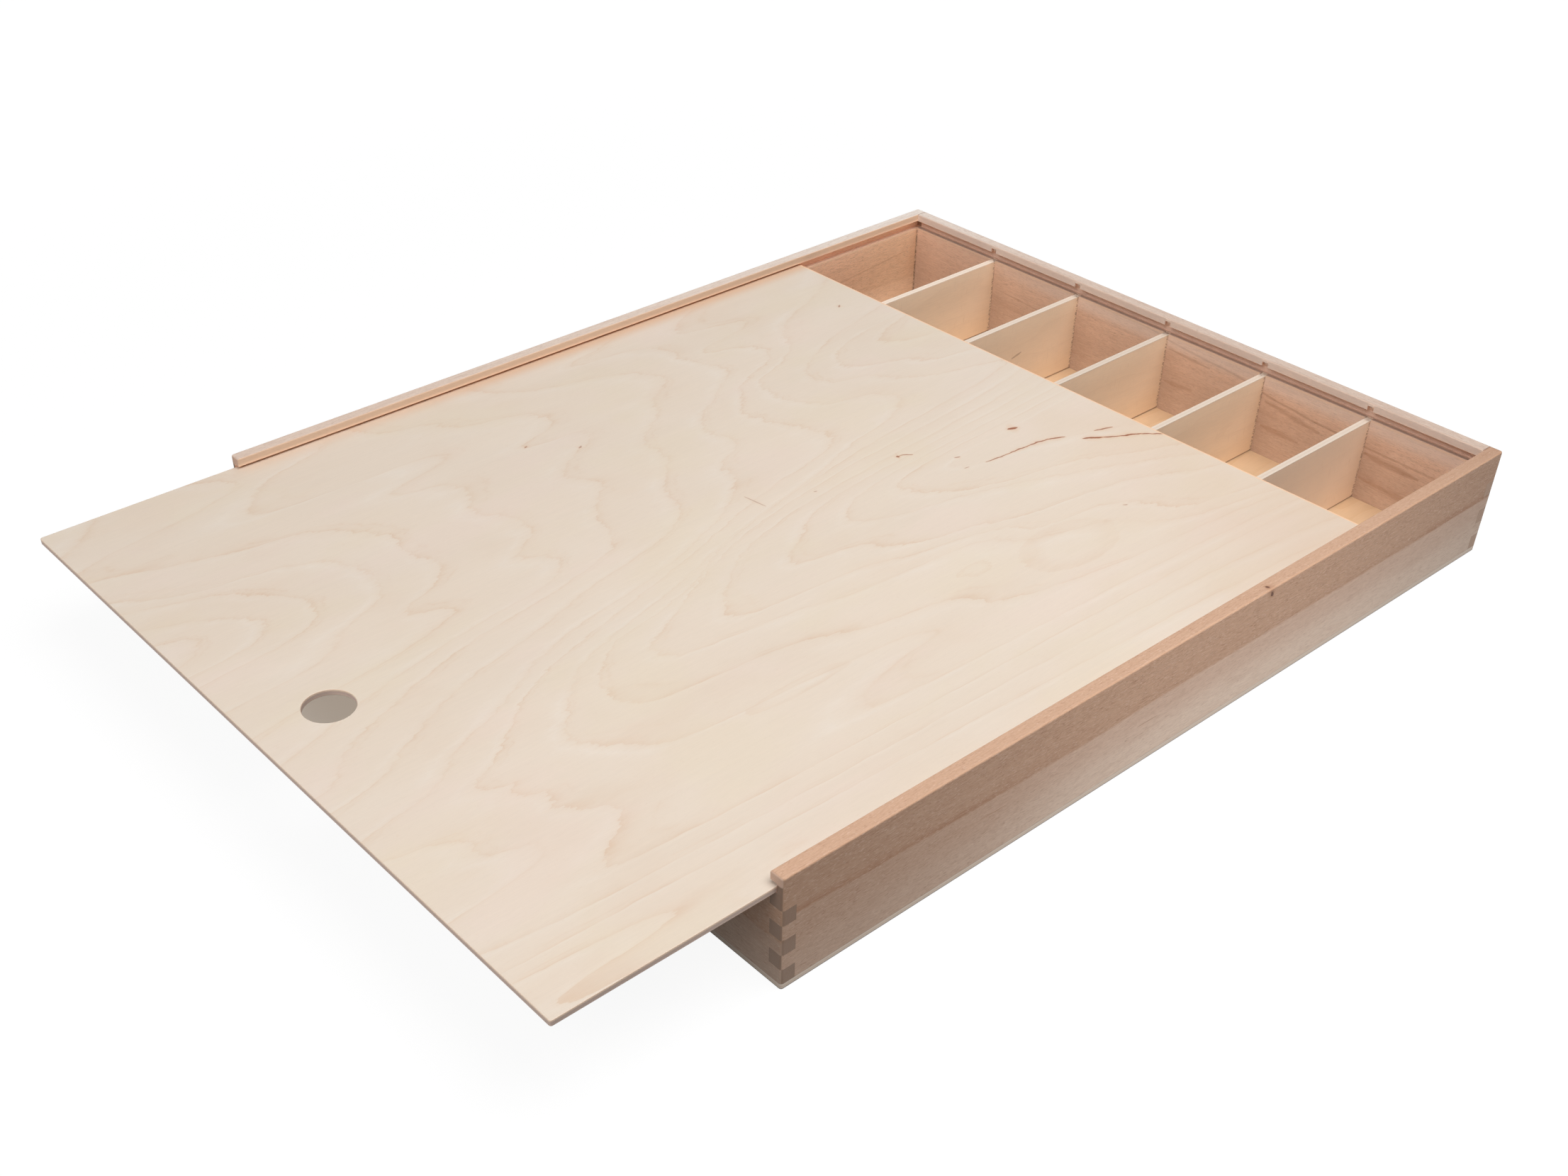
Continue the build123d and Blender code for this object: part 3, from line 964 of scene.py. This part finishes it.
# Brightness of the sawn edges, from the left partition to the right one
EDGE_BRIGHTNESS = (1.12, 1.0, 0.92, 0.95, 0.94)

# Small brown streaks in the face veneer: start, end, half width, strength
PARTITION_MARKS = {
    "divider_2": [((0, 187.6, 27.6), (0, 195.8, 29.4), 0.8, 0.45)],
}

# Distance between the growth lines on a partition's faces, in mm
PARTITION_RINGS = 13

# Tones of single places on the partitions
YELLOW_FOOT = tone(250, 216, 172)
PALE_RIGHT = tone(244, 224, 208)
# Painted shade in the gaps under the partitions and in the dadoes
FOOT_GAP_SHADE = tone(116, 74, 46)
DADO_GAP_SHADE = tone(116, 74, 52)


def partition_birch(name, look, seed, edge_brightness, streak_tree):
    """Plain birch plywood: level grain, upright lathe checks, and ragged sawn edges."""
    material, g = new_material(f"birch_ply_{name}")
    place, (x, y, z), (face_x, _, _) = g.surface()
    left, right = level(name, LOW, 0), level(name, HIGH, 0)
    sheet = g.join(y, z, x)

    def grain(cell, step, detail=1):
        """Random variation of this partition's own."""
        return g.noise(sheet, cell, seed + step, detail)

    drift = grain((120, 26, 90), 0, 2) - 0.5
    ring = g.math("FRACT", z / PARTITION_RINGS + drift * 3.2)
    line = g.math("POWER", ring, 5)
    fibre = grain((7, 0.45, 5), 2, 2) - 0.5
    cloud = grain((40, 18, 50), 3, 2) - 0.5
    checks = grain((0.40, 9, 9), 4).rise(0.62, 0.82) * grain((16, 14, 9), 5).rise(0.3, 0.6)
    coat = Coat(g, g.blend(line * 0.064, look.face, look.check))
    coat.lay(z.rise(24, 6) * 0.25, YELLOW_FOOT)
    coat.dim(fibre * 0.13 + cloud * 0.06 + x.rise(90, 140) * 0.04 + 1.0)
    coat.lay(x.rise(60, 140) * 0.4, PALE_RIGHT)
    coat.lay(checks * 0.28, look.check)
    for start, end, width, show in PARTITION_MARKS.get(name, []):
        mark = g.use(streak_tree, place=g.join(0.0, y, z), start=start, end=end, width=width) + fibre * 1.2
        coat.lay(mark.rise(1.4, 0.3) * show, look.mark)

    # Sawn edges on top, torn a little way down the faces, and painted shade in the gaps at the floor and in
    # the dadoes
    ply = (right - left) / 6
    core = abs(x - (left + right) / 2).rise(ply + 0.14, ply - 0.14)
    sawn = Coat(g, g.blend(core * 0.14, look.edge, look.check))
    sawn.dim((grain((1.6, 0.5, 0.22), 6, 2) * 0.24 + 0.88) * edge_brightness)
    torn = (grain((2.2, 0.5, 3), 8, 2) - 0.5) * 1.6
    on_top = z.rise(PARTITION_TOP - 0.75, PARTITION_TOP - 0.35 + torn)
    coat.lay(g.most(abs(face_x).rise(0.8, 0.5), on_top * 0.8), sawn.colour)
    coat.lay(z.rise(PARTITION_FOOT + 0.9, PARTITION_FOOT + 0.3) * 0.6, FOOT_GAP_SHADE)
    ragged = g.noise(place, (2, 2, 0.9), seed + 9, 2).rise(0.44, 0.6)
    coat.lay(abs(y).rise(INNER_BACK - 1.7, INNER_BACK - 0.9) * ragged * 0.5, DADO_GAP_SHADE)

    finish_wood(g, coat.colour, 0.6 + fibre * 0.1, 1 - (fibre * 0.6 + checks * 0.5), 0.04)
    return material


class FinishPartitions(bpy.types.Operator):
    """Give the partitions their birch plywood"""

    bl_idname = "pencilbox.finish_partitions"
    bl_label = "Finish Partitions"

    def execute(self, context):
        look = context.scene.pencil_box_partition
        streak_tree = streak_group()
        for number, name in enumerate(PARTITIONS):
            dress(name, partition_birch(name, look, 2.7 + number * 6.3, EDGE_BRIGHTNESS[number], streak_tree))
        return {"FINISHED"}


# Distance between the growth lines on the bottom, in mm
FLOOR_RINGS = 17

# Dark lines on the edge of the bottom: the glue under the walls, and the shade near the ground
WALL_GLUE = tone(96, 72, 58)
GROUND_SHADE = tone(112, 100, 92)


def bottom_birch(look):
    """Yellower plywood: grain along the compartments, and a sanded edge round the outside."""
    material, g = new_material("yellow_birch_bottom")
    place, (x, _, z), (_, _, face_z) = g.surface()
    drift = g.noise(place, (34, 160, 9), 3.3, 2) - 0.5
    ring = g.math("FRACT", x / FLOOR_RINGS + drift * 4.4)
    line = g.math("POWER", ring, 4)
    fibre = g.noise(place, (0.5, 8, 9), 5.1, 2) - 0.5
    cloud = g.noise(place, (30, 80, 9), 6.1, 2) - 0.5
    coat = Coat(g, g.blend(line * 0.315, look.face, look.line))
    coat.dim(fibre * 0.14 + cloud * 0.14 + 1.0)

    core_height = WALL_FOOT * 1.7 / 3
    sawn = Coat(g, g.blend(z.near(core_height, 0.5) * 0.3, look.edge, look.line))
    sawn.dim(g.noise(place, (2.4, 2.4, 0.3), 8.2, 2) * 0.2 + 0.9)
    sawn.lay(z.rise(WALL_FOOT - 0.3, WALL_FOOT) * 0.2, WALL_GLUE)
    sawn.lay(z.rise(1.3, 0.5) * 0.75, GROUND_SHADE)
    coat.lay(abs(face_z).rise(0.96, 0.7), sawn.colour)
    finish_wood(g, coat.colour, 0.6 + fibre * 0.1, 1 - fibre, 0.04)
    return material


class FinishBottom(bpy.types.Operator):
    """Give the bottom its yellower plywood"""

    bl_idname = "pencilbox.finish_bottom"
    bl_label = "Finish Bottom"

    def execute(self, context):
        dress("bottom_panel", bottom_birch(context.scene.pencil_box_bottom))
        return {"FINISHED"}


# Splinters

# A splinter's foot stands this deep in the back wall, and its tip this far off the partition
ROOT_DEPTH = 0.1 * MM
TIP_GAP = 0.03 * MM

# The least of each size, and how much chance adds to it
SPLINTER_WIDTH, MORE_WIDTH = 0.7 * MM, 0.8 * MM
SPLINTER_THICKNESS, MORE_THICKNESS = 0.10 * MM, 0.12 * MM
TIP_WANDER = 0.8 * MM


def splinter(mesh, root, tip, width, thickness):
    """A thin pointed flake from a foot on the back wall to a tip that lies along the partition."""
    side = Vector((0, 0, width / 2))
    out = Vector((thickness, 0, 0))
    places = (root - side, root + side, root - side + out, root + side + out, tip)
    low, high, low_out, high_out, point = [mesh.verts.new(place) for place in places]
    for face in ((low, high, point), (low_out, point, high_out), (low, point, low_out),
                 (high, high_out, point), (low, low_out, high_out, high)):
        mesh.faces.new(face)


class AddTornFibres(bpy.types.Operator):
    """Add the splinters that the dado cutter left beside the partitions"""

    bl_idname = "pencilbox.add_torn_fibres"
    bl_label = "Add Torn Fibres"

    def execute(self, context):
        look = context.scene.pencil_box_fibres
        mesh = bmesh.new()
        wall = INNER_BACK * MM
        foot, top = PARTITION_FOOT * MM, PARTITION_TOP * MM
        for number, name in enumerate(PARTITIONS):
            low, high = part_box(name)
            for direction, face in ((-1, low[0]), (1, high[0])):
                for step in range(look.count):
                    chance = field_noise(Vector((number * 7.3, direction * 3.1, step * 1.37)))
                    chance_two = field_noise(Vector((step * 2.11, number * 5.9, direction * 1.7)))
                    height = foot + (top - foot) * (step + 0.5 + chance * 0.8) / look.count
                    length = look.length * (0.35 + abs(chance_two) * 1.04)
                    width = SPLINTER_WIDTH + MORE_WIDTH * abs(chance)
                    thickness = direction * (SPLINTER_THICKNESS + MORE_THICKNESS * abs(chance))
                    root = Vector((face, wall + ROOT_DEPTH, height))
                    tip_height = height + chance_two * TIP_WANDER
                    tip = Vector((face + direction * TIP_GAP, wall - length, tip_height))
                    splinter(mesh, root, tip, width, thickness)
        bmesh.ops.recalc_face_normals(mesh, faces=mesh.faces)
        piece = add_mesh(context, "torn_fibres", mesh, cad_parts["back_wall"].material_slots[0].material)
        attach(piece, "box")
        return {"FINISHED"}


# Studio

# Borders between the floor under the box and the pulled-out lid, which glows less there as painted shade, and
# the open floor round it, and between that and the floor far off. Each is crossed from its first place to its
# second, in mm
SHADED_FLOOR_FRONT = (-306, -330)
SHADED_FLOOR_LEFT = (-214, -234)
SHADED_FLOOR_RIGHT = (138, 166)
SHADED_FLOOR_BACK = (252, 272)
FAR_OFF = (400, 1100)

# The floor's own glow, and how much of the lamps' light it shows: under the box, where the lower glow is
# painted shade, round it, and far off
GLOWS = ((0.32, 0.27, 0.22), (0.92, 0.92, 0.92), (1, 1, 1))
MATTS = ((0.8, 0.8, 0.8), (0.1, 0.1, 0.1), (0.02, 0.02, 0.02))

# How much light the floor throws back at the box, and half its width in metres
FLOOR_BOUNCE = (0.16, 0.16, 0.16)
FLOOR_REACH = 6

SENSOR_WIDTH = 36


def camera_matrix(look):
    """Stands the camera at its place, looking down along its azimuth and elevation, with its roll."""
    across, height = math.cos(look.elevation), math.sin(look.elevation)
    back = Vector((math.sin(look.azimuth) * across, -math.cos(look.azimuth) * across, height))
    right = Vector((0, 0, 1)).cross(back).normalized()
    up = back.cross(right)
    turned_right = math.cos(look.roll) * right - math.sin(look.roll) * up
    turned_up = math.sin(look.roll) * right + math.cos(look.roll) * up
    matrix = Matrix((turned_right, turned_up, back)).transposed().to_4x4()
    matrix.translation = Vector(look.place)
    return matrix


def soft_light(name, power, size, place, aim, spread=180):
    """A lamp with a soft face, which the camera doesn't see."""
    light = bpy.data.lights.new(name, "AREA")
    light.spread = math.radians(spread)
    light.shape = "RECTANGLE"
    light.size, light.size_y = size
    light.energy = power
    lamp = bpy.data.objects.new(name, light)
    lamp.location = place
    lamp.rotation_euler = (Vector(place) - Vector(aim)).to_track_quat("Z", "Y").to_euler()
    lamp.visible_camera = False
    bpy.context.scene.collection.objects.link(lamp)


def seen_directly(graph):
    """1 for rays from the camera, mirrors and glass, 0 for rays that carry light."""
    path = graph.node("ShaderNodeLightPath")
    return graph.most(*[Wire(graph, path.outputs[name])
                        for name in ("Is Camera Ray", "Is Glossy Ray", "Is Transmission Ray")])


def pale_floor():
    """A nearly white ground that shows a faint shadow of the box, and glows less under the box and the
    pulled-out lid, as painted shade.
    """
    material, g = new_material("pale_floor")
    place, (x, y, _), _ = g.surface()
    is_far = g.measure("LENGTH", place).rise(*FAR_OFF)
    is_open = g.most(y.rise(*SHADED_FLOOR_FRONT), x.rise(*SHADED_FLOOR_LEFT), x.rise(*SHADED_FLOOR_RIGHT), y.rise(*SHADED_FLOOR_BACK))
    glow, matt = [g.blend(is_far, g.blend(is_open, plain, near), far) for plain, near, far in (GLOWS, MATTS)]
    own_light = g.fed("ShaderNodeEmission", [glow])
    lit = g.fed("ShaderNodeBsdfDiffuse", [matt])
    shown = g.fed("ShaderNodeAddShader", (lit.outputs[0], own_light.outputs[0]))
    bounce = g.fed("ShaderNodeBsdfDiffuse", [FLOOR_BOUNCE])
    g.finish("ShaderNodeOutputMaterial",
             g.fed("ShaderNodeMixShader", (seen_directly(g), bounce.outputs[0], shown.outputs[0])))
    return material


def white_room(brightness):
    """White all round for the camera, and an even light of the given brightness on everything."""
    world = bpy.data.worlds.new("white_room")
    world.use_nodes = True
    world.node_tree.nodes.clear()
    g = Graph(world.node_tree)
    strength = seen_directly(g) * (1 - brightness) + brightness
    g.finish("ShaderNodeOutputWorld", g.fed("ShaderNodeBackground", ((1, 1, 1), strength)))
    return world


class SetStudio(bpy.types.Operator):
    """Set the floor, the light and the camera"""

    bl_idname = "pencilbox.set_studio"
    bl_label = "Set Studio"

    def execute(self, context):
        look = context.scene.pencil_box_studio
        mesh = bmesh.new()
        bmesh.ops.create_grid(mesh, x_segments=8, y_segments=8, size=FLOOR_REACH)
        add_mesh(context, "floor", mesh, pale_floor())
        context.scene.world = white_room(look.sky)
        soft_light("overhead_light", look.top_power, size=(1.6, 1.6), place=(0.65, 0.25, 2.0),
                   aim=(0.05, 0, 0))
        soft_light("front_light", look.front_power, size=(1.8, 1.2), place=(0.7, -2.0, 2.1), aim=(0, 0, 0))
        soft_light("side_light", look.side_power, size=(0.24, 0.12), place=(0.66, 0.03, 0.10),
                   aim=(0.214, 0.03, 0.03), spread=80)

        lens = bpy.data.cameras.new("camera")
        lens.sensor_fit = "HORIZONTAL"
        lens.sensor_width = SENSOR_WIDTH
        lens.lens = look.focal_length
        lens.shift_x, lens.shift_y = look.shift
        lens.clip_start = 0.01
        camera = bpy.data.objects.new("camera", lens)
        camera.matrix_world = camera_matrix(look)
        context.scene.collection.objects.link(camera)
        context.scene.camera = camera
        context.scene.view_settings.view_transform = "Standard"
        return {"FINISHED"}


# Sidebar and registration

# Each group of settings with its operator
SECTIONS = [
    ("pencil_box_beech", BeechBoards, FinishWalls),
    ("pencil_box_lid", LidVeneer, FinishLid),
    ("pencil_box_partition", PartitionPly, FinishPartitions),
    ("pencil_box_bottom", BottomPly, FinishBottom),
    ("pencil_box_fibres", TornFibres, AddTornFibres),
    ("pencil_box_studio", Studio, SetStudio),
]


class PENCILBOX_PT_sidebar(bpy.types.Panel):
    bl_label = "Wooden Pencil Box"
    bl_space_type = "VIEW_3D"
    bl_region_type = "UI"
    bl_category = "Pencil Box"

    def draw(self, context):
        for group_name, _, operator in SECTIONS:
            box = self.layout.box()
            group = getattr(context.scene, group_name)
            for setting in group.bl_rna.properties:
                if setting.identifier not in {"rna_type", "name"}:
                    box.prop(group, setting.identifier)
            box.operator(operator.bl_idname)


def register():
    for group_name, group, operator in SECTIONS:
        bpy.utils.register_class(group)
        setattr(bpy.types.Scene, group_name, PointerProperty(type=group))
        bpy.utils.register_class(operator)
    bpy.utils.register_class(PENCILBOX_PT_sidebar)


def unregister():
    bpy.utils.unregister_class(PENCILBOX_PT_sidebar)
    for group_name, group, operator in reversed(SECTIONS):
        bpy.utils.unregister_class(operator)
        delattr(bpy.types.Scene, group_name)
        bpy.utils.unregister_class(group)


def main():
    register()
    bpy.ops.pencilbox.finish_walls()
    bpy.ops.pencilbox.finish_lid()
    bpy.ops.pencilbox.finish_partitions()
    bpy.ops.pencilbox.finish_bottom()
    bpy.ops.pencilbox.add_torn_fibres()
    bpy.ops.pencilbox.set_studio()


if __name__ == "__main__":
    main()
